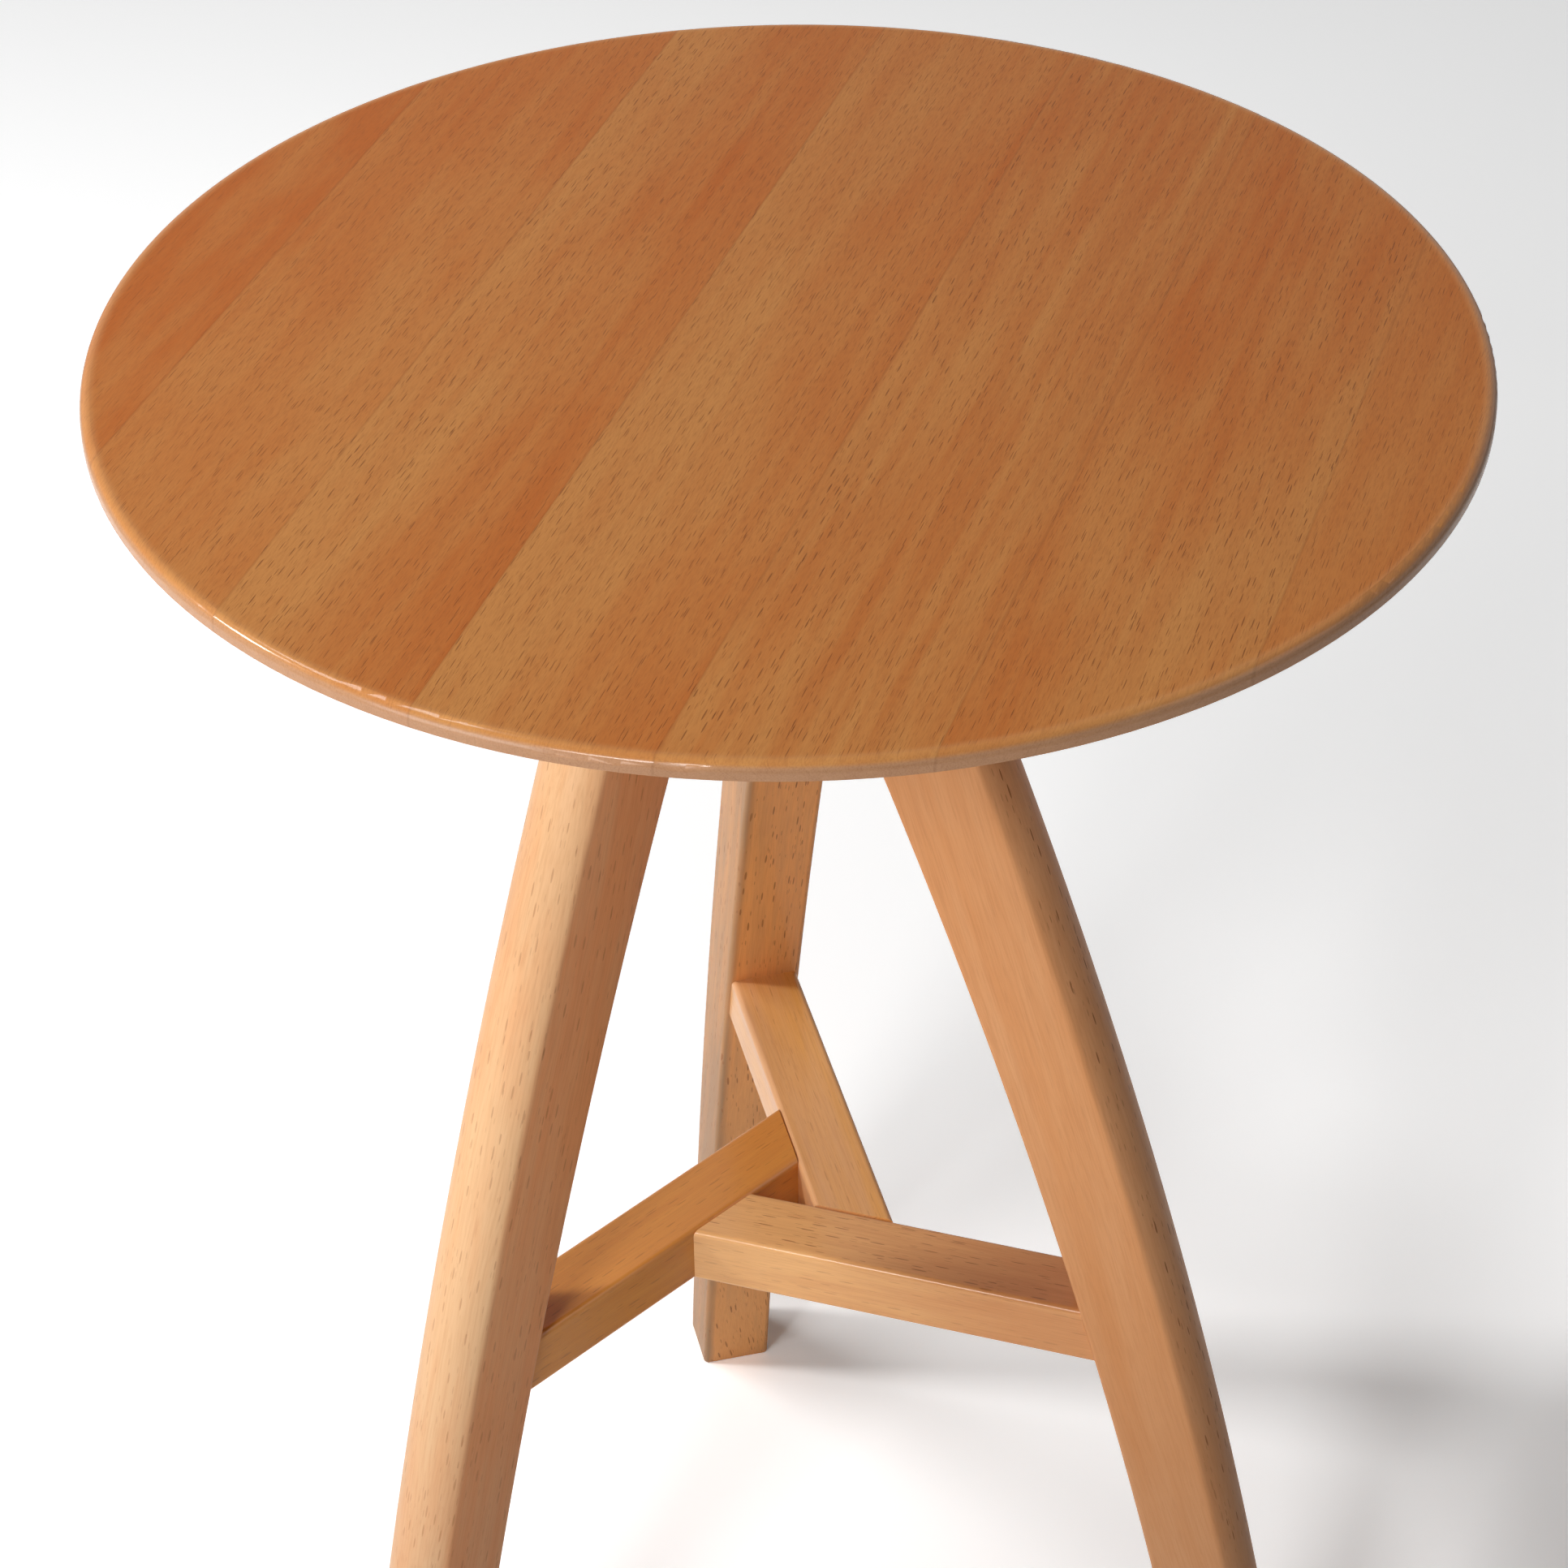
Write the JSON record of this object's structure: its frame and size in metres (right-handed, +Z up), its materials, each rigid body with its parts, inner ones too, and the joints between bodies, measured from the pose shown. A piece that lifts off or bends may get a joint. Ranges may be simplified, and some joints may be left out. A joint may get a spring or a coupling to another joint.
{
  "type": "side table",
  "caption": "Tall round wooden side table on curved splayed legs, tied by stretchers that meet in a pinwheel.",
  "frame": {"origin": "on the floor, on the centre line of the round top", "axes": "+Z up; +Y along the slab of the rear leg and its stretcher, outwards from the centre line; +X to the right seen from the front"},
  "size_m": [0.4, 0.4, 0.595],
  "materials": {
    "beech_top": "satin lacquer",
    "beech_frame": "satin lacquer",
    "beech_plate": "satin lacquer",
    "beech_dowel": "raw",
    "zinc_steel": "zinc plated"
  },
  "bodies": {
    "root": {"top_stave_1": "beech_top", "top_stave_2": "beech_top", "top_stave_3": "beech_top", "top_stave_4": "beech_top", "top_stave_5": "beech_top", "top_stave_6": "beech_top", "top_stave_7": "beech_top", "leg_rear": "beech_frame", "leg_left": "beech_frame", "leg_right": "beech_frame", "stretcher_rear": "beech_frame", "stretcher_left": "beech_frame", "stretcher_right": "beech_frame", "top_plate": "beech_plate", "leg_head_dowels": "beech_dowel", "stretcher_leg_dowels": "beech_dowel", "stretcher_centre_dowels": "beech_dowel", "top_screws": "zinc_steel", "screw_washers": "zinc_steel", "leg_bolts": "zinc_steel", "barrel_nuts": "zinc_steel"}
  },
  "joints": []
}
